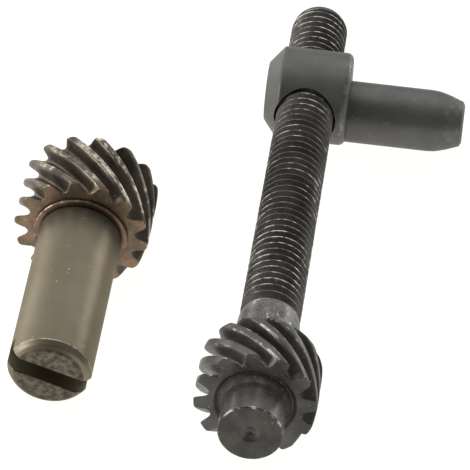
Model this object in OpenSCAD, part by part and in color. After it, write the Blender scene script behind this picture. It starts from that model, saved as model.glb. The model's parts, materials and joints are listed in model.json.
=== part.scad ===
// Side tensioner gear set: slotted adjuster with a helical gear, and a left-hand
// tension screw with an integral helical gear, carrying a nut with a side peg.
// Both sub-assemblies lie on the floor z = 0. The screw's axis runs along +Y.

/* [Tension screw] */
// Nominal thread diameter
thread_d = 6; // [5.6:0.1:6.4]
// Thread pitch
pitch = 1; // [0.9:0.05:1.1]
// Number of full turns of thread
thread_turns = 53; // [45:1:56]
// Distance from the pilot's end face to the first turn
thread_start = 18; // [16:0.1:20]
// Diameter of the plain neck between gear and thread
neck_d = 6.3; // [6.2:0.1:7]
// Diameter of the plain pilot
pilot_d = 6.2; // [5.8:0.1:6.4]
// Length of the pilot, from its end face to the gear
pilot_len = 4.5; // [3.5:0.1:6]
// Centre dimple diameter
dimple_d = 1.8; // [1:0.1:2.5]

/* [Gears] */
// Normal module of both gears
module_n = 0.62; // [0.6:0.01:0.64]
// Helix angle of both gears, left hand
helix = 45; // [43:0.5:46]
// Teeth on the screw's gear
screw_teeth = 12; // [12]
// Teeth on the adjuster's gear
adjuster_teeth = 14; // [14]
// Width of the screw's gear at its full diameter
screw_gear_w = 5.9; // [5:0.1:6.5]
// Length over which the screw's gear slopes down to the neck
screw_shoulder = 2.6; // [2.2:0.1:3.2]
// Face width of the adjuster's gear
adjuster_gear_w = 7; // [6:0.1:8]

/* [Tension nut] */
// Diameter of the round head
head_d = 9.7; // [9.4:0.1:10.2]
// Length of the head along the peg
head_len = 8.8; // [8.4:0.1:9.6]
// Peg diameter
peg_d = 6.45; // [6.2:0.05:6.7]
// Length of the peg's straight part
peg_straight = 8.8; // [7:0.1:10]
// Length of the peg's tapered tip
peg_taper = 3.2; // [2.5:0.1:4]
// Diameter of the peg's end face
peg_tip_d = 4.6; // [4:0.1:5]
// Distance of the peg's axis below the head's axis
peg_drop = 1.45; // [1.2:0.05:1.6]
// Diameter of the relief at both ends of the tapped hole
hole_relief_d = 6.9; // [6.8:0.1:7.2]
// Length of the tapped part of the hole
tapped_len = 6; // [5:0.5:6.5]
// Radial clearance between nut and screw threads
thread_clearance = 0.12; // [0.1:0.01:0.15]

/* [Adjuster] */
// Shank diameter
shank_d = 8.2; // [7.9:0.1:8.4]
// Length of the shank from its slotted end to the gear
shank_len = 20.2; // [18:0.1:22]
// Chamfer at the slotted end
shank_chamfer = 0.9; // [0.5:0.1:1.2]
// Width of the screwdriver slot
slot_w = 1.7; // [1.2:0.1:2]
// Depth of the screwdriver slot
slot_depth = 2.5; // [1.5:0.1:3]
// Diameter of the stub behind the gear
stub_d = 5; // [4:0.1:6]
// Length of the stub behind the gear
stub_len = 3; // [2:0.1:4]
// Outer diameter of the thrust washer
washer_d = 9.4; // [9:0.1:10]
// Thickness of the thrust washer
washer_t = 0.4; // [0.3:0.05:0.5]

/* [Layout] */
// Distance between the two axes at the slotted end
axis_gap = 20.4; // [18:0.1:24]
// How far the slotted end lies behind the screw's pilot end
adjuster_back = 9.3; // [0:0.1:14]
// Angle of the adjuster away from the screw, seen from above
adjuster_yaw = 1.2; // [0:0.1:5]
// Distance of the nut from the pilot's end face
nut_at = 58; // [40:1:60]
// Angle by which the peg hangs below level
peg_dip = 3.7; // [0:0.1:4]
// Angle of the screwdriver slot from level
slot_angle = -22; // [-90:1:90]

/* [Hidden] */
$fn = 64;

TURN_STEPS = 16;
TWIST_STEP = 5.5;
SMALL = 0.05;

// Gear proportions in the plane across the axis
module_t = module_n / cos(helix);
function pitch_radius(teeth) = teeth * module_t / 2;
function tip_radius(teeth) = pitch_radius(teeth) + module_n;
function root_radius(teeth) = pitch_radius(teeth) - 1.2 * module_n;
function twist_over(teeth, width) = width * tan(helix) / pitch_radius(teeth) * 180 / PI;

// Screw
screw_r = thread_d / 2 - 0.05;
thread_depth = 0.61 * pitch;
gear_start = pilot_len;
gear_end = gear_start + screw_gear_w + screw_shoulder;
thread_end = thread_start + thread_turns * pitch;
point_len = 0.9;
screw_len = thread_end + point_len;
axis_height = tip_radius(screw_teeth);

// Adjuster: it rests on its gear's near rim and on the edge of its slotted end
adjuster_tip = tip_radius(adjuster_teeth);
adjuster_tilt = atan((adjuster_tip - shank_d / 2) / (shank_len - shank_chamfer));
adjuster_height = shank_d / 2 * cos(adjuster_tilt) - shank_chamfer * sin(adjuster_tilt);
adjuster_end = shank_len + adjuster_gear_w;

seat_d = 6.6;
journal_start = shank_len - 0.6;
journal_r = shank_d / 2 - 0.3;
washer_gap = 0.05;
washer_play = 0.06;

// Turn of each gear about its axis, at its near face
screw_phase = 13.1;
adjuster_phase = -2.1;

// Nut thread: whole turns away from the start of the screw's thread, so that the two stay in step
tap_turns = tapped_len / pitch + 3;
tap_start = thread_start - SMALL + pitch * round((nut_at - thread_start) / pitch - tap_turns / 2);

// Whole set, centred over the origin
peg_end = head_len / 2 + peg_straight + peg_taper;
right_side = peg_end * cos(peg_dip) - (peg_drop - peg_tip_d / 2) * sin(peg_dip);
left_side = axis_gap + adjuster_tip * cos(adjuster_yaw) - shank_len * sin(adjuster_yaw) * cos(adjuster_tilt);
screw_x = (left_side - right_side) / 2;
screw_y = -screw_len / 2;

// ---------- shared shapes ----------

// Gear tooth outline: straight-flanked teeth between the root and the tip circle
module tooth_ring(teeth) {
    tip = tip_radius(teeth);
    root = root_radius(teeth);
    step = 360 / teeth;
    // [share of the tooth pitch, radius]
    shape = [
        [0.00, root],
        [0.12, root],
        [0.24, root + 0.2 * (tip - root)],
        [0.33, root + 0.55 * (tip - root)],
        [0.40, tip],
        [0.50, tip],
        [0.60, tip],
        [0.67, root + 0.55 * (tip - root)],
        [0.76, root + 0.2 * (tip - root)],
        [0.88, root]
    ];
    polygon([for (t = [0:teeth - 1], p = shape) p[1] * [cos((t + p[0]) * step), sin((t + p[0]) * step)]]);
}

// Left-hand helical gear from z = 0 up
module helical_gear(teeth, width) {
    linear_extrude(height = width, twist = twist_over(teeth, width), slices = ceil(twist_over(teeth, width) / TWIST_STEP))
        tooth_ring(teeth);
}

// Left-hand thread as one closed solid from z = 0 up, with flat round ends that the turns fade into
module left_thread(crest_r, depth, turns, crest_share) {
    root_r = crest_r - depth;
    flank = (1 - crest_share - 0.25) / 2;
    // [share of the pitch, height above the root]
    profile = [[0, 0], [0.25, 0], [0.25 + flank, depth], [0.25 + flank + crest_share, depth]];
    // Height of the turn k at angular step j: it grows in the first turn and fades in the last
    function grow(k, j) = k == 0 ? j / TURN_STEPS : k == turns ? 1 - j / TURN_STEPS : 1;
    function base(k, j) = k == 0 ? 0 : k - 1 + j / TURN_STEPS;
    function at(j, r, z) = [r * cos(-360 * j / TURN_STEPS), r * sin(-360 * j / TURN_STEPS), z * pitch];
    function spot(k, j, p) = at(j, root_r + grow(k, j) * p[1], base(k, j) + grow(k, j) * p[0]);
    rows = 4 * (turns + 1);
    // One column of points for each angular step, then its closing point
    points = [
        for (j = [0:TURN_STEPS - 1]) each [
            for (k = [0:turns], p = profile) spot(k, j, p),
            at(j, root_r, turns)
        ]
    ];
    per = rows + 1;
    // Column TURN_STEPS is column 0 moved up by one turn
    function id(j, m) = j < TURN_STEPS ? j * per + m : min(m + 4, rows);
    // Column 0 holds no height in turn 0, so its first points are all the same one
    function low(m) = max(m, 4);
    function left_id(j, m) = j == 0 ? low(m) : id(j, m);
    function quad(a, b, c, d) = a == b ? [[a, c, d]] : c == d ? [[a, b, c]] : [[a, b, c], [a, c, d]];
    sides = [
        for (j = [0:TURN_STEPS - 1], m = [0:rows - 1])
            each quad(left_id(j, m + 1), left_id(j, m), id(j + 1, m), id(j + 1, m + 1))
    ];
    bottom = [[for (j = [TURN_STEPS - 1:-1:0]) left_id(j, 0)]];
    top = [[for (j = [0:TURN_STEPS - 1]) id(j, rows)]];
    polyhedron(points = points, faces = concat(sides, bottom, top));
}

// Puts a piece that is drawn along +Z onto the screw's axis
module on_screw_axis() {
    translate([screw_x, screw_y, axis_height]) rotate([-90, 0, 0]) children();
}

// Puts a piece that is drawn along +Z onto the adjuster's axis
module on_adjuster_axis() {
    translate([screw_x - axis_gap, screw_y + adjuster_back, adjuster_height])
        rotate([0, 0, -adjuster_yaw])
        rotate([adjuster_tilt - 90, 0, 0])
        children();
}

// ---------- pieces ----------

// Screw, gear and pilot in one piece
module tension_screw() {
    relief_r = 3.7;
    relief_depth = 0.35;
    pilot_edge = 0.2;
    blank_r = tip_radius(screw_teeth) + 1;
    shoulder_slope = (tip_radius(screw_teeth) - neck_d / 2) / screw_shoulder;
    point_r = screw_r - thread_depth - SMALL;
    color("dimgray") on_screw_axis() difference() {
        union() {
            rotate_extrude() polygon([
                [0, 0],
                [pilot_d / 2 - pilot_edge, 0],
                [pilot_d / 2, pilot_edge],
                [pilot_d / 2, gear_start + 1],
                [0, gear_start + 1]
            ]);
            translate([0, 0, gear_start]) intersection() {
                rotate([0, 0, screw_phase]) helical_gear(screw_teeth, screw_gear_w + screw_shoulder);
                rotate_extrude() polygon([
                    [0, relief_depth],
                    [relief_r, relief_depth],
                    [relief_r, -1],
                    [blank_r, -1],
                    [blank_r, screw_gear_w - (blank_r - tip_radius(screw_teeth)) / shoulder_slope],
                    [neck_d / 2, screw_gear_w + screw_shoulder],
                    [0, screw_gear_w + screw_shoulder]
                ]);
            }
            translate([0, 0, gear_end - 1]) cylinder(d = neck_d, h = thread_start - gear_end + 1);
            translate([0, 0, thread_start - SMALL])
                left_thread(screw_r, thread_depth, thread_turns, 0.125);
            translate([0, 0, thread_end - 0.5]) cylinder(r = point_r, h = 0.5 + point_len - 0.3);
            translate([0, 0, screw_len - 0.3]) cylinder(r1 = point_r, r2 = point_r - 0.25, h = 0.3);
        }
        translate([0, 0, -0.1]) cylinder(d1 = dimple_d, d2 = 0.2, h = 0.8);
    }
}

// Outline of the nut's head, from its free face at z = 0 up
module nut_head() {
    free_chamfer = 1.5;
    free_face_r = 3;
    edge_len = 0.6;
    edge_depth = 0.15;
    rotate_extrude() polygon([
        [0, 0],
        [free_face_r, 0],
        [head_d / 2, free_chamfer],
        [head_d / 2, head_len - edge_len],
        [head_d / 2 - edge_depth, head_len],
        [0, head_len]
    ]);
}

// Peg with a slightly bulging taper, from z = 0 inside the head up
module nut_peg(root_len) {
    straight_end = root_len + peg_straight;
    tip_end = straight_end + peg_taper;
    bulge_r = 0.6 * peg_d / 2 + 0.4 * peg_tip_d / 2 + 0.1;
    tip_edge = 0.25;
    rotate_extrude() polygon([
        [0, 0],
        [peg_d / 2, 0],
        [peg_d / 2, straight_end],
        [bulge_r, straight_end + 0.5 * peg_taper],
        [peg_tip_d / 2, tip_end - tip_edge],
        [peg_tip_d / 2 - tip_edge, tip_end],
        [0, tip_end]
    ]);
}

// Nut: round head and eccentric peg, drawn along the peg's axis, tapped across the head
module tension_nut() {
    root_len = 1;
    color("gray") on_screw_axis() difference() {
        translate([0, 0, nut_at]) rotate([0, 0, peg_dip]) union() {
            rotate([0, 90, 0]) translate([0, 0, -head_len / 2]) nut_head();
            translate([head_len / 2 - root_len, peg_drop, 0]) rotate([0, 90, 0]) nut_peg(root_len);
        }
        for (side = [0, 180]) translate([0, 0, nut_at]) rotate([side, 0, 0]) translate([0, 0, tapped_len / 2])
            cylinder(d = hole_relief_d, h = head_d);
        translate([0, 0, tap_start])
            left_thread(screw_r + thread_clearance, thread_depth, tap_turns, 0.25);
    }
}

// Ground spindle with its slot, chamfered end, gear seat and far stub
module adjuster_spindle() {
    stub_edge = 0.4;
    color("silver") on_adjuster_axis() difference() {
        rotate_extrude() polygon([
            [0, 0],
            [shank_d / 2 - shank_chamfer, 0],
            [shank_d / 2, shank_chamfer],
            [shank_d / 2, journal_start],
            [journal_r, journal_start],
            [journal_r, shank_len],
            [seat_d / 2, shank_len],
            [seat_d / 2, adjuster_end],
            [stub_d / 2, adjuster_end],
            [stub_d / 2, adjuster_end + stub_len - stub_edge],
            [stub_d / 2 - stub_edge, adjuster_end + stub_len],
            [0, adjuster_end + stub_len]
        ]);
        rotate([0, 0, -slot_angle]) translate([-shank_d, -slot_w / 2, -1])
            cube([2 * shank_d, slot_w, slot_depth + 1]);
    }
}

// Helical gear, pressed on the spindle's seat
module adjuster_gear() {
    color("dimgray") on_adjuster_axis() translate([0, 0, shank_len]) rotate([0, 0, adjuster_phase])
        difference() {
            helical_gear(adjuster_teeth, adjuster_gear_w);
            translate([0, 0, -1]) cylinder(d = seat_d, h = adjuster_gear_w + 2);
        }
}

// Copper washer round the shank, just clear of the gear's face
module thrust_washer() {
    color("peru") on_adjuster_axis() translate([0, 0, shank_len - washer_gap - washer_t]) difference() {
        cylinder(d = washer_d, h = washer_t);
        translate([0, 0, -1]) cylinder(r = journal_r + washer_play, h = washer_t + 2);
    }
}

tension_screw();
tension_nut();
adjuster_spindle();
adjuster_gear();
thrust_washer();
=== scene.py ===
import json
import math

import bmesh
import bpy
from mathutils import Matrix, Vector, noise


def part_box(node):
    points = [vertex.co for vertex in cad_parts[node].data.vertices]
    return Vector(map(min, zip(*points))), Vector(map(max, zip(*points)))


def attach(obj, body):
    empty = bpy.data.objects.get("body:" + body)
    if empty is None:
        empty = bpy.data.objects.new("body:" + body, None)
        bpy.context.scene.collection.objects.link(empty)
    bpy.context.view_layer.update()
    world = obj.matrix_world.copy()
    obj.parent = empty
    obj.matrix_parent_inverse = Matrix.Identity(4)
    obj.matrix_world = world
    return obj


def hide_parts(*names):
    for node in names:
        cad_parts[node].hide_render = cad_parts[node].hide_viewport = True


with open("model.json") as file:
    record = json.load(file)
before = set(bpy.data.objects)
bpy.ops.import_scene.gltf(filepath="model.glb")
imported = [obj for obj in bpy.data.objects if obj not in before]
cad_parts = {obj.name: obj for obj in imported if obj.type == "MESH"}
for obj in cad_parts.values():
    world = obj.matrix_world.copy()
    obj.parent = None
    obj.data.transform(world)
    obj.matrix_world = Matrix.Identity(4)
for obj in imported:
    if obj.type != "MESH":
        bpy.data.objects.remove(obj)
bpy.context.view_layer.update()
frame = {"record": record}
mounts = {m["name"]: m for m in frame["record"]["mounts"]}

# All shapes are in millimetres in a piece's own frame, with +Z along its axis
MM = 0.001
TAU = 2 * math.pi

# ---------- sizes of the real thing ----------

PILOT_R = 3.1
PILOT_LEN = 4.5
DIMPLE_R = 1.05
DIMPLE_DEPTH = 0.6
PILOT_EDGE = 0.17
FLARE_LEN = 0.75
FLARE_R = 3.42
RELIEF_R = 3.95
RELIEF_DEPTH = 0.28
SCREW_TEETH = 12
SCREW_TIP_R = 5.881
SCREW_ROOT_R = 4.50
SCREW_PITCH_R = 5.261
SCREW_PHASE = math.radians(13.1)
SHOULDER_FROM = 10.0
SHOULDER_TO = 13.0
SHOULDER_POWER = 1.6
SCREW_FACE_EDGE = 0.06
SCREW_GEAR_STEPS = 68
NECK_R = 3.15
NECK_END_R = 3.02
THREAD_START = 17.95
THREAD_TURNS = 53
THREAD_R = 2.98
THREAD_DEPTH = 0.61
THREAD_ROUGHNESS = 0.012
THREAD_NOISE = 3
END_TAPER_LEN = 0.45
END_TAPER = 0.28
SCREW_LEN = 71.9

NUT_AT = 58.0
HEAD_HALF = 4.4
HEAD_PEG_SIDE = 4.3
HEAD_R = 4.85
HEAD_BACK_R = 3.0
HEAD_BEVEL = 1.5
HEAD_ROUND = 0.7
PEG_DROP = 1.45
PEG_R = 3.225
PEG_STRAIGHT = 8.8
PEG_TAPER = 3.2
PEG_TIP_R = 2.3
HOLE_R = 3.06
HOLE_RELIEF_R = 3.22
HOLE_BEVEL = 0.35
TAPPED_LEN = 6.0

SHANK_R = 4.1
SHANK_LEN = 20.2
SHANK_CHAMFER = 0.9
JOURNAL_R = 3.8
JOURNAL_LEN = 0.6
SLOT_W = 1.7
SLOT_DEPTH = 2.5
SLOT_ANGLE = math.radians(22)
SLOT_LIP = 0.07
SLOT_CORNER = 0.15
SEAT_R = 3.3
STUB_R = 2.5
STUB_LEN = 3.0
WASHER_R = 4.7
WASHER_T = 0.4
WASHER_BORE_R = 3.86
WASHER_GAP = 0.05
WASHER_EDGE = 0.1

GEAR_TEETH = 14
GEAR_WIDTH = 7.0
GEAR_TIP_R = 6.758
GEAR_ROOT_R = 5.42
GEAR_PITCH_R = 6.138
GEAR_PHASE = math.radians(-2.1)
GEAR_EDGE = 0.12
GEAR_STEPS = 52
GEAR_RIPPLE = 0.012
GEAR_LAND_WEAR_AND_GLINT = 0.55

# Distance over which an edge's wear and painted highlight fade into the faces beside it
EDGE_FADE = 0.08
# Fineness of the ripple on worn teeth, round the gear and along it
RIPPLE_ROUND = 9
RIPPLE_ALONG = 3
# Height share above which a tooth carries wear and a painted highlight, and how soft it meets the
# blank's outline
CREST_FROM = 0.8
BLANK_SOFTNESS = 0.12

# ---------- mesh building ----------


class Skin:
    """A closed surface made ring by ring; each point carries a share of bright bare metal, for real
    wear and for painted highlights on crests and edges.
    """

    def __init__(self):
        self.points = []
        self.wear_and_glint = []
        self.faces = []

    def point(self, x, y, z, wear_and_glint=0.0):
        self.points.append((x * MM, y * MM, z * MM))
        self.wear_and_glint.append(wear_and_glint)
        return len(self.points) - 1

    def ring(self, points):
        return [self.point(*p) for p in points]

    def circle(self, radius, z, columns, wear_and_glint=0.0, shift=0.0):
        return self.ring(
            (
                radius * math.cos(TAU * c / columns) + shift,
                radius * math.sin(TAU * c / columns),
                z,
                wear_and_glint,
            )
            for c in range(columns)
        )

    def join(self, low, high):
        count = len(low)
        for c in range(count):
            d = (c + 1) % count
            self.faces.append((low[c], low[d], high[d], high[c]))

    def halve(self, low, high):
        """Joins a ring to one with half as many points."""
        count = len(high)
        for c in range(count):
            d = (c + 1) % count
            self.faces.append((low[2 * c], low[2 * c + 1], high[c]))
            self.faces.append((low[2 * c + 1], low[(2 * c + 2) % len(low)], high[d], high[c]))

    def close(self, ring, x, z):
        """Closes a ring with a fan of faces to a point on the axis."""
        pole = self.point(x, 0, z)
        for c in range(len(ring)):
            self.faces.append((ring[c], ring[(c + 1) % len(ring)], pole))

    def build(self, name, matrix, smooth_angle=32.0):
        mesh = bpy.data.meshes.new(name)
        mesh.from_pydata(self.points, [], self.faces)
        layer = mesh.attributes.new("wear_and_glint", "FLOAT", "POINT")
        layer.data.foreach_set("value", self.wear_and_glint)
        work = bmesh.new()
        work.from_mesh(mesh)
        bmesh.ops.recalc_face_normals(work, faces=work.faces)
        work.to_mesh(mesh)
        work.free()
        obj = bpy.data.objects.new(name, mesh)
        bpy.context.scene.collection.objects.link(obj)
        obj.matrix_world = matrix
        shade(obj, smooth_angle)
        return obj


def shade(obj, angle):
    """Smooth shading, except over edges sharper than the angle."""
    mesh = obj.data
    for face in mesh.polygons:
        face.use_smooth = True
    work = bmesh.new()
    work.from_mesh(mesh)
    limit = math.radians(angle)
    for edge in work.edges:
        sharp = len(edge.link_faces) == 2 and edge.calc_face_angle(0.0) > limit
        edge.smooth = not sharp
    work.to_mesh(mesh)
    work.free()


def rounded(corners, steps=5):
    """Outline of (radius, height, wear and glint) points from corners of (radius, height, fillet,
    wear and glint).
    """
    outline = []
    for i, (r, z, fillet, wear_and_glint) in enumerate(corners):
        if fillet == 0 or i in (0, len(corners) - 1):
            outline.append((r, z, wear_and_glint))
            continue
        here = Vector((r, z))
        back = (Vector(corners[i - 1][:2]) - here).normalized()
        ahead = (Vector(corners[i + 1][:2]) - here).normalized()
        half = back.angle(ahead) / 2
        reach = fillet / math.tan(half)
        start = here + back * reach
        end = here + ahead * reach
        room_back = (Vector(corners[i - 1][:2]) - start).length
        room_ahead = (Vector(corners[i + 1][:2]) - end).length
        centre = here + (back + ahead).normalized() * fillet / math.sin(half)
        if wear_and_glint:
            spot = start + back * min(EDGE_FADE, 0.3 * room_back)
            outline.append((spot.x, spot.y, 0.0))
        for k in range(steps + 1):
            spoke = (start - centre).normalized().slerp((end - centre).normalized(), k / steps)
            spot = centre + spoke * fillet
            outline.append((spot.x, spot.y, wear_and_glint if 0 < k < steps else wear_and_glint * 0.5))
        if wear_and_glint:
            spot = end + ahead * min(EDGE_FADE, 0.3 * room_ahead)
            outline.append((spot.x, spot.y, 0.0))
    return outline


def lathe(skin, outline, columns, shift=0.0):
    """Turns an outline whose two ends are on the axis."""
    rings = [skin.circle(r, z, columns, wear_and_glint, shift) for r, z, wear_and_glint in outline[1:-1]]
    for low, high in zip(rings, rings[1:]):
        skin.join(low, high)
    skin.close(rings[0], shift, outline[0][1])
    skin.close(rings[-1], shift, outline[-1][1])


def half_tooth(knots):
    """Full set of (share of the tooth pitch, height share) from one flank's."""
    return knots + [(1 - u, h) for u, h in reversed(knots[1:-1])]


# Gullet middle to tip middle: (share of the tooth pitch, share of the tooth height)
CUT_TOOTH = half_tooth(
    [
        (0.00, 0.00),
        (0.06, 0.01),
        (0.115, 0.06),
        (0.165, 0.17),
        (0.205, 0.34),
        (0.240, 0.56),
        (0.275, 0.79),
        (0.305, 0.93),
        (0.345, 0.99),
        (0.420, 1.00),
        (0.500, 1.00),
    ]
)
WORN_TOOTH = half_tooth(
    [
        (0.00, 0.00),
        (0.06, 0.02),
        (0.12, 0.09),
        (0.165, 0.20),
        (0.205, 0.34),
        (0.245, 0.52),
        (0.285, 0.71),
        (0.325, 0.86),
        (0.370, 0.95),
        (0.430, 0.99),
        (0.500, 1.00),
    ]
)


def soft_min(a, b, width):
    """The smaller of two numbers, with the corner between them rounded."""
    gap = max(width - abs(a - b), 0.0) / width
    return min(a, b) - gap * gap * width * 0.25


def tooth_ring(teeth, tooth, root, tip, turn, z, blank, edge_wear_and_glint, land_wear_and_glint=0.15, ripple=0.0):
    """One ring of a helical gear at height z; the blank's radius limits the teeth.

    The corners of a tooth's crest get bare metal for wear and painted highlights by
    edge_wear_and_glint, and its flat land by land_wear_and_glint of that."""
    points = []
    for t in range(teeth):
        for u, h in tooth:
            angle = TAU * (t + u) / teeth + turn
            full = root + h * (tip - root)
            r = soft_min(full, blank, BLANK_SOFTNESS) if blank < tip + 0.1 else full
            if ripple:
                across = RIPPLE_ROUND * math.cos(angle)
                up = RIPPLE_ROUND * math.sin(angle)
                r += ripple * noise.noise(Vector((across, up, z * RIPPLE_ALONG)))
            crest = max(0.0, h - CREST_FROM) / (1 - CREST_FROM)
            corner = 1.0 if 0.9 < h < 0.995 else land_wear_and_glint
            points.append(
                (
                    r * math.cos(angle),
                    r * math.sin(angle),
                    z,
                    crest * corner * edge_wear_and_glint,
                )
            )
    return points


# ---------- frames of the two axes and of the nut ----------


def axes(origin, x, z):
    """Matrix of the frame at origin with those x and z axes."""
    y = z.cross(x)
    m = Matrix((x, y, z)).transposed().to_4x4()
    m.translation = origin
    return m


screw_mount = mounts["screw_pilot"]
screw_origin = Vector(screw_mount["pos_m"])
screw_origin.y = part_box("tension_screw")[0].y
screw_frame = axes(screw_origin, Vector((1, 0, 0)), -Vector(screw_mount["axis"]))

slot_mount = mounts["screwdriver_slot"]
spindle_axis = -Vector(slot_mount["axis"])
spindle_right = spindle_axis.cross(Vector((0, 0, 1))).normalized()
spindle_frame = axes(Vector(slot_mount["pos_m"]), spindle_right, spindle_axis)

peg_axis = Vector(mounts["nut_peg"]["axis"])
peg_down = Vector((0, 1, 0)).cross(peg_axis)
nut_origin = screw_origin + Vector((0, NUT_AT * MM, 0))
nut_frame = axes(nut_origin, peg_down, peg_axis)

# ---------- tension screw ----------

# Share of the pitch and of the depth, from one root's middle to the next
THREAD_FORM = [
    (0.00, 0.00),
    (0.11, 0.03),
    (0.175, 0.15),
    (0.42, 0.90),
    (0.455, 0.985),
    (0.50, 1.00),
    (0.545, 0.985),
    (0.58, 0.90),
    (0.825, 0.15),
    (0.89, 0.03),
]
# Height of a root's middle above the thread's start, at angle 0
THREAD_SHIFT = 0.125
# How far the thread's root rises where it ends
END_LIFT = 0.46


def thread_band(skin, columns):
    """Left-hand thread of 1 mm pitch; its first turn grows and its last one fades.

    Column j starts one turn's profile later than column 0 by its share of a turn, so the last
    column meets the first one a whole turn on. Returns the rings at both ends."""
    root = THREAD_R - THREAD_DEPTH
    per = len(THREAD_FORM)
    rows = per * (THREAD_TURNS + 1)
    grid = []
    for j in range(columns):
        share = j / columns
        angle = -TAU * share
        column = []
        for k in range(THREAD_TURNS + 1):
            grown = share if k == 0 else 1 - share if k == THREAD_TURNS else 1
            base = 0 if k == 0 else k - 1 + share
            for u, h in THREAD_FORM:
                z = base + grown * u
                z += THREAD_SHIFT * (grown if k == THREAD_TURNS else min(1.0, base))
                lift = END_LIFT * min(max(z - THREAD_TURNS + 1, 0.0), 1.0) ** 1.5
                across = THREAD_NOISE * math.cos(angle)
                up = THREAD_NOISE * math.sin(angle)
                rough = THREAD_ROUGHNESS * noise.noise(Vector((across, up, z)))
                r = root + max(grown * h * (THREAD_DEPTH + rough), lift)
                if z > THREAD_TURNS - END_TAPER_LEN:
                    r = min(r, THREAD_R - END_TAPER * (z - THREAD_TURNS + END_TAPER_LEN))
                # Crests carry wear and a painted highlight
                wear_and_glint = max(0.0, h - 0.85) / 0.15 * (0.3 + 0.7 * grown)
                at = THREAD_START + z
                column.append((r * math.cos(angle), r * math.sin(angle), at, wear_and_glint))
        at = THREAD_START + THREAD_TURNS
        r = root + END_LIFT
        column.append((r * math.cos(angle), r * math.sin(angle), at, 0.0))
        grid.append(column)
    ids = []
    for j in range(columns):
        ids.append([skin.point(*p) for p in grid[j][per if j == 0 else 0 :]])

    def spot(j, m):
        if j == columns:
            j, m = 0, m + per
        m = min(m, rows)
        return ids[0][max(m, per) - per] if j == 0 else ids[j][m]

    for j in range(columns):
        for m in range(rows):
            quad = (spot(j, m), spot(j + 1, m), spot(j + 1, m + 1), spot(j, m + 1))
            face = [q for i, q in enumerate(quad) if q not in quad[:i]]
            if len(face) > 2:
                skin.faces.append(tuple(face))
    low = [spot(j, 0) for j in range(columns)]
    high = [spot(j, rows) for j in range(columns)]
    return list(reversed(low)), list(reversed(high))


def shoulder(z):
    """Blank radius of the screw's gear: full width, then a rounded slope to the neck."""
    t = min(max((z - SHOULDER_FROM) / (SHOULDER_TO - SHOULDER_FROM), 0.0), 1.0)
    slope = 1 - t**SHOULDER_POWER
    return NECK_R + (SCREW_TIP_R + 0.02 - NECK_R) * slope


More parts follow.
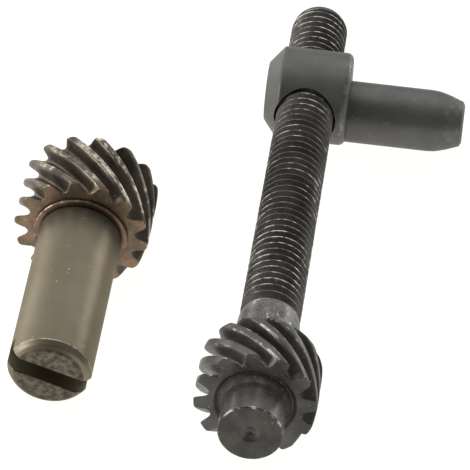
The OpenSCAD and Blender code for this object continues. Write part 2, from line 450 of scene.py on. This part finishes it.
def make_screw():
    skin = Skin()
    gear_columns = SCREW_TEETH * len(CUT_TOOTH)
    thread_columns = gear_columns // 2
    front = rounded(
        [
            (0, DIMPLE_DEPTH, 0, 0),
            (0.3, 0.7 * DIMPLE_DEPTH, 0.3, 0),
            (DIMPLE_R, 0.0, 0.5, 0.0),
            (PILOT_R, 0.0, PILOT_EDGE, 0.75),
            (PILOT_R, PILOT_LEN - FLARE_LEN, 0.9, 0.0),
            (FLARE_R, PILOT_LEN + 0.06, 0.12, 0.12),
            (FLARE_R + 0.1, PILOT_LEN + RELIEF_DEPTH, 0.08, 0.0),
            (RELIEF_R, PILOT_LEN, 0.16, 0.0),
            (RELIEF_R + 0.1, PILOT_LEN, 0.0, 0.0),
        ]
    )
    rings = [skin.circle(r, z, gear_columns, w) for r, z, w in front[1:]]
    for low, high in zip(rings, rings[1:]):
        skin.join(low, high)
    skin.close(rings[0], 0, DIMPLE_DEPTH)
    last = rings[-1]

    def turn_at(z):
        return SCREW_PHASE - (z - PILOT_LEN) / SCREW_PITCH_R

    def gear_ring(z, inset, wear_and_glint):
        return skin.ring(
            tooth_ring(
                SCREW_TEETH,
                CUT_TOOTH,
                SCREW_ROOT_R - inset,
                SCREW_TIP_R - inset,
                turn_at(z),
                z,
                shoulder(z),
                wear_and_glint,
            )
        )

    middle = skin.ring(
        tooth_ring(
            SCREW_TEETH,
            CUT_TOOTH,
            RELIEF_R + 0.2,
            RELIEF_R + 0.3,
            SCREW_PHASE,
            PILOT_LEN,
            SCREW_TIP_R + 1,
            0.0,
        )
    )
    turned = round(SCREW_PHASE / TAU * gear_columns)
    skin.join(last[turned:] + last[:turned], middle)
    inner = gear_ring(PILOT_LEN, SCREW_FACE_EDGE + 0.1, 0.0)
    skin.join(middle, inner)
    last = gear_ring(PILOT_LEN, SCREW_FACE_EDGE, 0.7)
    skin.join(inner, last)
    full = 0.15
    heights = [PILOT_LEN + SCREW_FACE_EDGE, PILOT_LEN + full]
    span = SHOULDER_TO - PILOT_LEN - full
    for k in range(SCREW_GEAR_STEPS):
        heights.append(PILOT_LEN + full + span * (k + 1) / SCREW_GEAR_STEPS)
    for z in heights:
        ring = gear_ring(z, 0.0, 1.0 if z < PILOT_LEN + 0.1 else 0.75)
        skin.join(last, ring)
        last = ring
    end_turn = turn_at(SHOULDER_TO)

    # The gear's rings are turned, so the neck starts on the nearest column
    first = skin.circle(NECK_R, SHOULDER_TO + 0.25, gear_columns)
    turned = round(end_turn / TAU * gear_columns) % gear_columns
    skin.join(last, first[turned:] + first[:turned])
    last = first
    for z, r, wear_and_glint in (
        (SHOULDER_TO + 1.2, NECK_R - 0.01, 0.0),
        (THREAD_START - 1.6, NECK_END_R + 0.05, 0.0),
        (THREAD_START - 0.75, NECK_END_R, 0.1),
        (THREAD_START - 0.5, NECK_END_R - 0.04, 1.0),
    ):
        ring = skin.circle(r, z, gear_columns, wear_and_glint)
        skin.join(last, ring)
        last = ring
    low, high = thread_band(skin, thread_columns)
    # The thread's columns run backwards from angle 0, so its lists start at the last column
    low = low[-1:] + low[:-1]
    high = high[-1:] + high[:-1]
    skin.halve(last, low)
    last = high
    end = SCREW_LEN - THREAD_START
    for z, r in (
        (end - 0.75, 2.74),
        (end - 0.55, 2.65),
        (end - 0.35, 2.53),
        (end - 0.18, 2.39),
        (end - 0.07, 2.24),
        (end - 0.01, 2.05),
        (end, 1.85),
        (end, 1.0),
    ):
        ring = skin.circle(r, THREAD_START + z, thread_columns, 0.0)
        skin.join(last, ring)
        last = ring
    skin.close(last, 0, SCREW_LEN)
    return skin.build("screw_body", screw_frame, 38.0)


# ---------- booleans on finished solids ----------


def cut(obj, tool, operation="DIFFERENCE"):
    """Applies an exact boolean and removes the tool."""
    modifier = obj.modifiers.new("cut", "BOOLEAN")
    modifier.operation = operation
    modifier.solver = "EXACT"
    modifier.object = tool
    bpy.context.view_layer.update()
    graph = bpy.context.evaluated_depsgraph_get()
    mesh = bpy.data.meshes.new_from_object(obj.evaluated_get(graph))
    obj.modifiers.clear()
    obj.data = mesh
    bpy.data.objects.remove(tool)


def tidy(obj):
    """Joins points that a boolean left on top of each other."""
    work = bmesh.new()
    work.from_mesh(obj.data)
    bmesh.ops.remove_doubles(work, verts=work.verts, dist=0.002 * MM)
    bmesh.ops.dissolve_degenerate(work, edges=work.edges, dist=0.001 * MM)
    work.to_mesh(obj.data)
    work.free()


# ---------- nut ----------


def make_nut():
    columns = 144
    head = Skin()
    lathe(
        head,
        rounded(
            [
                (0, -HEAD_HALF, 0, 0),
                (HEAD_BACK_R, -HEAD_HALF, 0.35, 0.4),
                (HEAD_R, -HEAD_HALF + HEAD_BEVEL, 0.5, 0.25),
                (HEAD_R, HEAD_PEG_SIDE, HEAD_ROUND, 0.6),
                (0, HEAD_PEG_SIDE, 0, 0),
            ],
            7,
        ),
        columns,
    )
    nut = head.build("nut_body", nut_frame)
    straight = HEAD_HALF + PEG_STRAIGHT
    tip = straight + PEG_TAPER
    peg = Skin()
    corners = [
        (0, 1.0, 0, 0),
        (PEG_R, 1.0, 0, 0),
        (PEG_R, straight - 0.3, 0.0, 0.0),
        (PEG_R - 0.07, straight + 0.5, 0.0, 0.1),
        (PEG_R - 0.22, straight + 1.1, 0.0, 0.1),
        (PEG_R - 0.43, straight + 1.8, 0.0, 0.1),
        (PEG_R - 0.68, straight + 2.45, 0.0, 0.1),
        (PEG_TIP_R + 0.06, tip - 0.22, 0.25, 0.5),
        (PEG_TIP_R - 0.35, tip, 0.3, 0.5),
        (0, tip, 0, 0),
    ]
    lathe(peg, rounded(corners), columns, PEG_DROP)
    cut(nut, peg.build("peg_tool", nut_frame), "UNION")
    side = nut_frame @ Matrix.Rotation(-math.pi / 2, 4, "X")
    hole = Skin()
    half = TAPPED_LEN / 2
    far = HEAD_R + 1
    lathe(
        hole,
        [
            (0, -far, 0),
            (HOLE_RELIEF_R, -far, 0),
            (HOLE_RELIEF_R, -half, 0),
            (HOLE_R, -half + HOLE_BEVEL, 0),
            (HOLE_R, half - HOLE_BEVEL, 0),
            (HOLE_RELIEF_R, half, 0),
            (HOLE_RELIEF_R, far, 0),
            (0, far, 0),
        ],
        columns,
    )
    cut(nut, hole.build("hole_tool", side))
    tidy(nut)
    shade(nut, 28.0)
    return nut


# ---------- adjuster ----------


def make_spindle():
    columns = 160
    end = SHANK_LEN + GEAR_WIDTH
    skin = Skin()
    lathe(
        skin,
        rounded(
            [
                (0, 0, 0, 0),
                (SHANK_R - SHANK_CHAMFER, 0, 0.10, 0.4),
                (SHANK_R - 0.33, 0.36, 0.6, 0.0),
                (SHANK_R, SHANK_CHAMFER, 0.2, 0.7),
                (SHANK_R, SHANK_LEN - JOURNAL_LEN, 0.05, 0.0),
                (JOURNAL_R, SHANK_LEN - JOURNAL_LEN, 0.02, 0.0),
                (JOURNAL_R, SHANK_LEN, 0, 0),
                (SEAT_R, SHANK_LEN, 0, 0),
                (SEAT_R, end, 0, 0.3),
                (STUB_R, end, 0.0, 0),
                (STUB_R, end + STUB_LEN, 0.35, 0.5),
                (0, end + STUB_LEN, 0, 0),
            ]
        ),
        columns,
    )
    spindle = skin.build("spindle_body", spindle_frame)
    slot = Skin()
    half = SLOT_W / 2
    wide = SHANK_R + 1
    section = [
        (-half - SLOT_LIP - 1, -1),
        (-half - SLOT_LIP, 0),
        (-half, SLOT_LIP),
        (-half, SLOT_DEPTH - SLOT_CORNER),
        (-half + SLOT_CORNER, SLOT_DEPTH),
        (half - SLOT_CORNER, SLOT_DEPTH),
        (half, SLOT_DEPTH - SLOT_CORNER),
        (half, SLOT_LIP),
        (half + SLOT_LIP, 0),
        (half + SLOT_LIP + 1, -1),
    ]
    left = slot.ring((-wide, y, z) for y, z in section)
    right = slot.ring((wide, y, z) for y, z in section)
    slot.join(left, right)
    slot.faces.append(tuple(left))
    slot.faces.append(tuple(right))
    turned = spindle_frame @ Matrix.Rotation(SLOT_ANGLE, 4, "Z")
    cut(spindle, slot.build("slot_tool", turned))
    tidy(spindle)
    shade(spindle, 24.0)
    return spindle


def make_gear():
    skin = Skin()
    columns = GEAR_TEETH * len(WORN_TOOTH)

    def turn_at(z):
        return GEAR_PHASE - z / GEAR_PITCH_R

    def gear_ring(z, inset, wear_and_glint):
        return skin.ring(
            tooth_ring(
                GEAR_TEETH,
                WORN_TOOTH,
                GEAR_ROOT_R - inset * 0.4,
                GEAR_TIP_R - inset,
                turn_at(z),
                z,
                GEAR_TIP_R + 1,
                wear_and_glint,
                GEAR_LAND_WEAR_AND_GLINT,
                GEAR_RIPPLE,
            )
        )

    def bore_ring(radius, z):
        turn = turn_at(z)
        return skin.ring(
            (
                radius * math.cos(TAU * (t + u) / GEAR_TEETH + turn),
                radius * math.sin(TAU * (t + u) / GEAR_TEETH + turn),
                z,
                0.0,
            )
            for t in range(GEAR_TEETH)
            for u, h in WORN_TOOTH
        )

    bore = SEAT_R + 0.01
    first = bore_ring(bore, 0)
    face = bore_ring(GEAR_ROOT_R - 0.5, 0)
    skin.join(first, face)
    inner = gear_ring(0, GEAR_EDGE + 0.1, 0.0)
    skin.join(face, inner)
    last = gear_ring(0, GEAR_EDGE, 0.5)
    skin.join(inner, last)
    heights = [0.03, GEAR_EDGE]
    for k in range(GEAR_STEPS):
        heights.append(GEAR_EDGE + (GEAR_WIDTH - 2 * GEAR_EDGE) * (k + 1) / GEAR_STEPS)
    heights.append(GEAR_WIDTH - 0.03)
    for z in heights:
        near = min(z, GEAR_WIDTH - z)
        inset = 0.0 if near >= GEAR_EDGE - 0.001 else 0.06
        ring = gear_ring(z, inset, 1.0 if near < 0.2 else 0.85)
        skin.join(last, ring)
        last = ring
    ring = gear_ring(GEAR_WIDTH, GEAR_EDGE, 0.6)
    skin.join(last, ring)
    far_face = bore_ring(GEAR_ROOT_R - 0.5, GEAR_WIDTH)
    skin.join(ring, far_face)
    far_bore = bore_ring(bore, GEAR_WIDTH)
    skin.join(far_face, far_bore)
    skin.join(far_bore, first)
    place = spindle_frame @ Matrix.Translation((0, 0, SHANK_LEN * MM))
    return skin.build("gear_body", place, 40.0)


def make_washer():
    columns = 144
    skin = Skin()
    low = SHANK_LEN - WASHER_GAP - WASHER_T
    high = SHANK_LEN - WASHER_GAP
    edge = WASHER_EDGE
    bevel = 0.03
    # Third value: bare metal for wear and painted highlights, brightest on the outer edge
    outline = [
        (WASHER_BORE_R, low + edge, 0.0),
        (WASHER_BORE_R + bevel, low + bevel, 0.3),
        (WASHER_BORE_R + edge, low, 0.2),
        (WASHER_R - edge, low, 0.3),
        (WASHER_R - bevel, low + bevel, 1.0),
        (WASHER_R, low + edge, 0.6),
        (WASHER_R, high - edge, 0.4),
        (WASHER_R - bevel, high - bevel, 0.6),
        (WASHER_R - edge, high, 0.0),
        (WASHER_BORE_R, high, 0.0),
    ]
    rings = [skin.circle(r, z, columns, w) for r, z, w in outline]
    for a, b in zip(rings, rings[1:] + rings[:1]):
        skin.join(a, b)
    return skin.build("washer_body", spindle_frame, 50.0)


# ---------- materials ----------

# Noise scales, in waves per metre
PATCH_SCALE = 300.0
AREA_SCALE = 230.0
RUB_SCALE = 1300.0
SCUFF_SCALE = 1500.0
BLOTCH_SCALE = 420.0
GRAIN_SCALE = 2400.0
TINT_SCALE = 170.0
BLUE_SCALE = 330.0
SPECK_SCALE = 2300.0
SAWN_SCALE = 1500.0
# Heights along a piece, in metres
NEAR_FACE = 0.00006
SCUFF_FADE = 0.0004
NECK_STRETCH = (0.0126, 0.0176)
DARK_END_STRETCH = (0.0160, 0.0196)
# Reflection at grazing angles is dulled to this
GRAZING_TINT = (0.45, 0.43, 0.40, 1.0)


class Finish:
    """Node material of one metal finish."""

    def __init__(self, name):
        self.material = bpy.data.materials.new(name)
        self.material.use_nodes = True
        self.tree = self.material.node_tree
        self.tree.nodes.clear()
        self.out = self.tree.nodes.new("ShaderNodeOutputMaterial")
        self.coords = self.tree.nodes.new("ShaderNodeTexCoord").outputs["Object"]

    def link(self, source, target):
        self.tree.links.new(source, target)

    def stretch(self, x, y, z):
        node = self.tree.nodes.new("ShaderNodeMapping")
        node.inputs["Scale"].default_value = (x, y, z)
        self.link(self.coords, node.inputs["Vector"])
        return node.outputs["Vector"]

    def noise(self, scale, detail, where=None, rough=0.55):
        node = self.tree.nodes.new("ShaderNodeTexNoise")
        node.inputs["Scale"].default_value = scale
        node.inputs["Detail"].default_value = detail
        node.inputs["Roughness"].default_value = rough
        self.link(where if where is not None else self.coords, node.inputs["Vector"])
        return node.outputs["Fac"]

    def span(self, value, low, high, to_low=0.0, to_high=1.0):
        node = self.tree.nodes.new("ShaderNodeMapRange")
        node.clamp = True
        node.interpolation_type = "SMOOTHSTEP"
        node.inputs["From Min"].default_value = low
        node.inputs["From Max"].default_value = high
        node.inputs["To Min"].default_value = to_low
        node.inputs["To Max"].default_value = to_high
        self.link(value, node.inputs["Value"])
        return node.outputs["Result"]

    def math(self, kind, a, b):
        node = self.tree.nodes.new("ShaderNodeMath")
        node.operation = kind
        node.use_clamp = True
        self.link(a, node.inputs[0])
        if isinstance(b, float):
            node.inputs[1].default_value = b
        else:
            self.link(b, node.inputs[1])
        return node.outputs["Value"]

    def blend(self, share, a, b):
        """Mix of two colours; each is a colour or a socket."""
        node = self.tree.nodes.new("ShaderNodeMix")
        node.data_type = "RGBA"
        self.link(share, node.inputs["Factor"])
        for socket, colour in ((node.inputs[6], a), (node.inputs[7], b)):
            if isinstance(colour, tuple):
                socket.default_value = (*colour, 1.0)
            else:
                self.link(colour, socket)
        return node.outputs[2]

    def split(self):
        """The object coordinates' three parts."""
        node = self.tree.nodes.new("ShaderNodeSeparateXYZ")
        self.link(self.coords, node.inputs["Vector"])
        return node

    def height(self):
        """Distance along the piece's own axis, in metres."""
        return self.split().outputs["Z"]

    def wear_and_glint(self):
        node = self.tree.nodes.new("ShaderNodeAttribute")
        node.attribute_name = "wear_and_glint"
        return node.outputs["Fac"]

    def bump(self, height, strength, distance, under=None):
        node = self.tree.nodes.new("ShaderNodeBump")
        node.inputs["Strength"].default_value = strength
        node.inputs["Distance"].default_value = distance
        self.link(height, node.inputs["Height"])
        if under is not None:
            self.link(under, node.inputs["Normal"])
        return node.outputs["Normal"]

    def surface(self, colour, rough, normal, metallic):
        node = self.tree.nodes.new("ShaderNodeBsdfPrincipled")
        self.link(colour, node.inputs["Base Color"])
        self.link(rough, node.inputs["Roughness"])
        self.link(normal, node.inputs["Normal"])
        node.inputs["Metallic"].default_value = metallic
        node.inputs["Specular Tint"].default_value = GRAZING_TINT
        self.link(node.outputs["BSDF"], self.out.inputs["Surface"])
        return self.material


def worn_metal_with_glints(name, dark, light, bare, rough, wear_and_glint_range, metallic, **more):
    """Coated metal, bare where the wear_and_glint attribute is high (real wear and painted
    highlights), with small bright specks.

    dark and light are the coating's colours and bare is the metal's. rough and wear_and_glint_range
    are (low, high) pairs: the roughness, and the wear_and_glint at which bare metal starts and is
    complete.
    scuffed=(from, to) is a stretch along the axis with many light scratches, and
    face=(dark, light) colours the near end face differently."""
    grain = more.get("grain", GRAIN_SCALE)
    f = Finish(name)
    patches = f.span(f.noise(PATCH_SCALE, 5.0), 0.32, 0.68)
    grit = f.noise(grain, 5.0)
    colour = f.blend(patches, dark, light)
    specks = f.span(f.noise(grain * 1.1, 2.0), 0.66, 0.80, 0.0, 0.5)
    height = f.height()
    if "scuffed" in more:
        low, high = more["scuffed"]
        rise = f.span(height, low, low + SCUFF_FADE)
        fall = f.span(height, high - SCUFF_FADE, high, 1.0, 0.0)
        zone = f.math("MULTIPLY", rise, fall)
        mottle = f.math("MULTIPLY", zone, f.span(f.noise(SCUFF_SCALE, 6.0, None, 0.75), 0.42, 0.72))
        colour = f.blend(mottle, colour, more["scuff_colour"])
        lines = f.noise(1.0, 3.0, f.stretch(2600.0, 2600.0, 800.0))
        scratches = f.math("MULTIPLY", zone, f.span(lines, 0.62, 0.72))
        colour = f.blend(scratches, colour, bare)
    if "face" in more:
        face_dark, face_light = more["face"]
        front = f.span(height, NEAR_FACE, NEAR_FACE * 2, 1.0, 0.0)
        # The near end face gets its own pair of colours: darker on the screw, lighter and warmer on
        # the gear
        face_tone = f.blend(f.span(f.noise(BLOTCH_SCALE, 5.0), 0.38, 0.62), face_dark, face_light)
        colour = f.blend(front, colour, face_tone)
    colour = f.blend(specks, colour, bare)
    areas = f.span(f.noise(AREA_SCALE, 2.0), 0.40, 0.62, 0.35, 1.0)
    broken = f.math("MULTIPLY", areas, f.span(f.noise(RUB_SCALE, 4.0), 0.36, 0.66, 0.12, 1.0))
    # Wear and painted highlight: where the wear_and_glint attribute is high, bare metal stands for
    # worn coating and also paints highlights on crests and edges
    rub_and_glint = f.span(f.math("MULTIPLY", f.wear_and_glint(), broken), *wear_and_glint_range)
    colour = f.blend(rub_and_glint, colour, bare)
    dull = f.span(grit, 0.3, 0.7, *rough)
    normal = f.bump(grit, more.get("bump", 0.35), 0.00004)
    return f.surface(colour, dull, normal, metallic)


BLACK_OXIDE = worn_metal_with_glints(
    "black_oxide",
    dark=(0.068, 0.066, 0.064),
    light=(0.122, 0.119, 0.113),
    bare=(0.68, 0.66, 0.62),
    rough=(0.26, 0.42),
    wear_and_glint_range=(0.15, 0.85),
    metallic=0.45,
    scuffed=NECK_STRETCH,
    scuff_colour=(0.22, 0.215, 0.205),
    face=((0.050, 0.048, 0.045), (0.078, 0.074, 0.069)),
)
PHOSPHATE = worn_metal_with_glints(
    "grey_phosphate",
    dark=(0.108, 0.108, 0.105),
    light=(0.130, 0.130, 0.125),
    bare=(0.36, 0.345, 0.33),
    rough=(0.36, 0.48),
    wear_and_glint_range=(0.15, 0.95),
    metallic=0.45,
    grain=1600.0,
    bump=0.2,
)
GEAR_STEEL = worn_metal_with_glints(
    "dark_gear_steel",
    dark=(0.075, 0.066, 0.055),
    light=(0.165, 0.138, 0.108),
    bare=(0.74, 0.70, 0.60),
    rough=(0.26, 0.42),
    wear_and_glint_range=(0.12, 0.80),
    metallic=0.6,
    grain=1900.0,
    bump=0.45,
    face=((0.150, 0.120, 0.085), (0.265, 0.178, 0.120)),
)
COPPER = worn_metal_with_glints(
    "copper",
    dark=(0.11, 0.076, 0.058),
    light=(0.24, 0.145, 0.105),
    bare=(0.80, 0.70, 0.56),
    rough=(0.28, 0.42),
    wear_and_glint_range=(0.15, 0.70),
    metallic=0.8,
)

STRAW = (0.250, 0.224, 0.168)
BROWN = (0.220, 0.186, 0.128)
BLUED = (0.200, 0.210, 0.200)
DARK_END_COLOUR = (0.095, 0.092, 0.085)
# Painted dark reflection along the middle of the ground shank
PAINTED_DARK_REFLECTION = (0.110, 0.092, 0.062)
BRIGHT_STEEL = (0.50, 0.48, 0.42)
SPECK_STEEL = (0.50, 0.48, 0.43)
SAWN_DARK = (0.070, 0.061, 0.047)
SAWN_LIGHT = (0.165, 0.146, 0.114)


def ground_steel():
    """Ground shank with fine lines round it, faint heat tints and a painted dark reflection along
    its middle; its sawn end face is duller.
    """
    f = Finish("ground_steel")
    lines = f.noise(1.0, 4.0, f.stretch(500.0, 500.0, 9000.0))
    tint = f.span(f.noise(TINT_SCALE, 2.0), 0.35, 0.65)
    blue = f.span(f.noise(BLUE_SCALE, 2.0), 0.55, 0.80, 0.0, 0.6)
    colour = f.blend(tint, STRAW, BROWN)
    colour = f.blend(blue, colour, BLUED)
    # Darker in blotches towards the washer end of the shank
    darker_end = f.span(f.height(), *DARK_END_STRETCH, 0.0, 0.75)
    darker_end = f.math("MULTIPLY", darker_end, f.span(f.noise(BLOTCH_SCALE, 3.0), 0.35, 0.65, 0.5, 1.0))
    colour = f.blend(darker_end, colour, DARK_END_COLOUR)
    # Painted reflection: where |X| is small, a darker brown band runs along the shank's top and
    # bottom in place of a dark reflection; it turns with the shank
    side = f.tree.nodes.new("ShaderNodeMath")
    side.operation = "ABSOLUTE"
    f.link(f.split().outputs["X"], side.inputs[0])
    middle = f.span(side.outputs["Value"], 0.0004, 0.0030, 1.0, 0.0)
    colour = f.blend(f.math("MULTIPLY", middle, 0.6), colour, PAINTED_DARK_REFLECTION)
    scratch = f.noise(1.0, 3.0, f.stretch(700.0, 2600.0, 900.0))
    # Worn edges and painted highlights on chamfers and edges, in bright steel
    rub_and_glint = f.span(f.math("MULTIPLY", f.wear_and_glint(), f.span(scratch, 0.3, 0.6)), 0.25, 0.7)
    colour = f.blend(rub_and_glint, colour, BRIGHT_STEEL)
    specks = f.span(f.noise(SPECK_SCALE, 2.0), 0.72, 0.80)
    colour = f.blend(specks, colour, SPECK_STEEL)
    face = f.span(f.height(), NEAR_FACE, 0.00022, 1.0, 0.0)
    grit = f.noise(SAWN_SCALE, 6.0)
    sawn = f.blend(f.span(grit, 0.38, 0.64), SAWN_DARK, SAWN_LIGHT)
    colour = f.blend(face, colour, sawn)
    dull = f.span(lines, 0.3, 0.7, 0.42, 0.52)
    normal = f.bump(lines, 0.12, 0.00002)
    normal = f.bump(f.math("MULTIPLY", grit, face), 0.5, 0.00005, normal)
    return f.surface(colour, dull, normal, 0.8)


GROUND = ground_steel()

# ---------- pieces ----------

PIECES = (
    (make_screw(), "screw", "tension_screw", "black_oxide", BLACK_OXIDE),
    (make_nut(), "nut", "tension_nut", "grey_phosphate", PHOSPHATE),
    (make_spindle(), "adjuster", "adjuster_spindle", "ground_steel", GROUND),
    (make_gear(), "adjuster", "adjuster_gear", "dark_gear_steel", GEAR_STEEL),
    (make_washer(), "washer", "thrust_washer", "copper", COPPER),
)
for piece, body, node, slot_name, material in PIECES:
    piece.data.materials.clear()
    piece.data.materials.append(material)
    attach(piece, body)
    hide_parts(node)

# ---------- stage, light and camera ----------


def plain(name, colour, glow):
    """Pale floor that glows softly, like a light table, so that it stays white."""
    f = Finish(name)
    shader = f.tree.nodes.new("ShaderNodeBsdfPrincipled")
    shader.inputs["Base Color"].default_value = (*colour, 1.0)
    shader.inputs["Roughness"].default_value = 0.9
    shader.inputs["Emission Color"].default_value = (*glow, 1.0)
    shader.inputs["Emission Strength"].default_value = 1.0
    f.link(shader.outputs["BSDF"], f.out.inputs["Surface"])
    return f.material


FLOOR_HALF = 1.2
FLOOR_COLOUR = (0.16, 0.16, 0.16)
FLOOR_GLOW = (1.0, 0.985, 0.93)
floor_mesh = bpy.data.meshes.new("floor")
floor_mesh.from_pydata(
    [(x * FLOOR_HALF, y * FLOOR_HALF, 0) for x, y in ((-1, -1), (1, -1), (1, 1), (-1, 1))],
    [],
    [(0, 1, 2, 3)],
)
floor = bpy.data.objects.new("floor", floor_mesh)
bpy.context.scene.collection.objects.link(floor)
floor_mesh.materials.append(plain("pale_table", FLOOR_COLOUR, FLOOR_GLOW))


def softbox(name, place, size, power, colour):
    """Rectangular light aimed at the origin."""
    light = bpy.data.lights.new(name, "AREA")
    light.shape = "RECTANGLE"
    light.size, light.size_y = size
    light.energy = power
    light.color = colour
    obj = bpy.data.objects.new(name, light)
    obj.location = place
    obj.rotation_euler = (-Vector(place)).to_track_quat("-Z", "Y").to_euler()
    bpy.context.scene.collection.objects.link(obj)


softbox("overhead", (-0.10, 0.30, 0.60), (1.20, 0.90), 3.0, (1.0, 0.99, 0.97))
softbox("left_side", (-0.60, -0.18, 0.20), (0.36, 0.30), 2.4, (1.0, 0.97, 0.92))
softbox("back_left", (-0.62, 0.66, 0.12), (0.75, 0.30), 1.6, (1.0, 0.99, 0.97))
softbox("back_right", (0.62, 0.72, 0.11), (0.60, 0.26), 2.0, (1.0, 0.99, 0.98))

# World brightness, from behind the camera to the far side
SKY_NEAR = (0.12, 0.12, 0.12, 1)
SKY_FAR = (0.80, 0.80, 0.81, 1)
SKY_NEAR_AT = 0.20
SKY_FAR_AT = 0.70
SKY_STRENGTH = 0.8

scene = bpy.context.scene
world = bpy.data.worlds.new("studio")
scene.world = world
world.use_nodes = True
tree = world.node_tree
tree.nodes.clear()
sky = tree.nodes.new("ShaderNodeBackground")
ramp = tree.nodes.new("ShaderNodeValToRGB")
parts = tree.nodes.new("ShaderNodeSeparateXYZ")
aim = tree.nodes.new("ShaderNodeTexCoord")
world_out = tree.nodes.new("ShaderNodeOutputWorld")
tree.links.new(aim.outputs["Generated"], parts.inputs["Vector"])
spread = tree.nodes.new("ShaderNodeMapRange")
spread.inputs["From Min"].default_value = -1.0
spread.inputs["From Max"].default_value = 1.0
tree.links.new(parts.outputs["Y"], spread.inputs["Value"])
tree.links.new(spread.outputs["Result"], ramp.inputs["Fac"])
ramp.color_ramp.elements[0].position = SKY_NEAR_AT
ramp.color_ramp.elements[0].color = SKY_NEAR
ramp.color_ramp.elements[1].position = SKY_FAR_AT
ramp.color_ramp.elements[1].color = SKY_FAR
tree.links.new(ramp.outputs["Color"], sky.inputs["Color"])
sky.inputs["Strength"].default_value = SKY_STRENGTH
tree.links.new(sky.outputs["Background"], world_out.inputs["Surface"])

# Place from the middle of the screw's pilot end, angles in degrees and lens in millimetres
CAMERA_OFFSET = Vector((30.98, -295.86, 231.15)) * MM
CAMERA_DOWN = 35.04
CAMERA_TURN = 6.246
CAMERA_LENS = 310.0
CAMERA_SENSOR = 36.0
camera_data = bpy.data.cameras.new("camera")
camera_data.lens = CAMERA_LENS
camera_data.sensor_width = CAMERA_SENSOR
camera_data.clip_start = 0.01
camera = bpy.data.objects.new("camera", camera_data)
camera.location = screw_origin + CAMERA_OFFSET
camera.rotation_euler = (math.radians(90 - CAMERA_DOWN), 0, math.radians(CAMERA_TURN))
scene.collection.objects.link(camera)
scene.camera = camera
scene.view_settings.view_transform = "Standard"

bpy.context.view_layer.update()
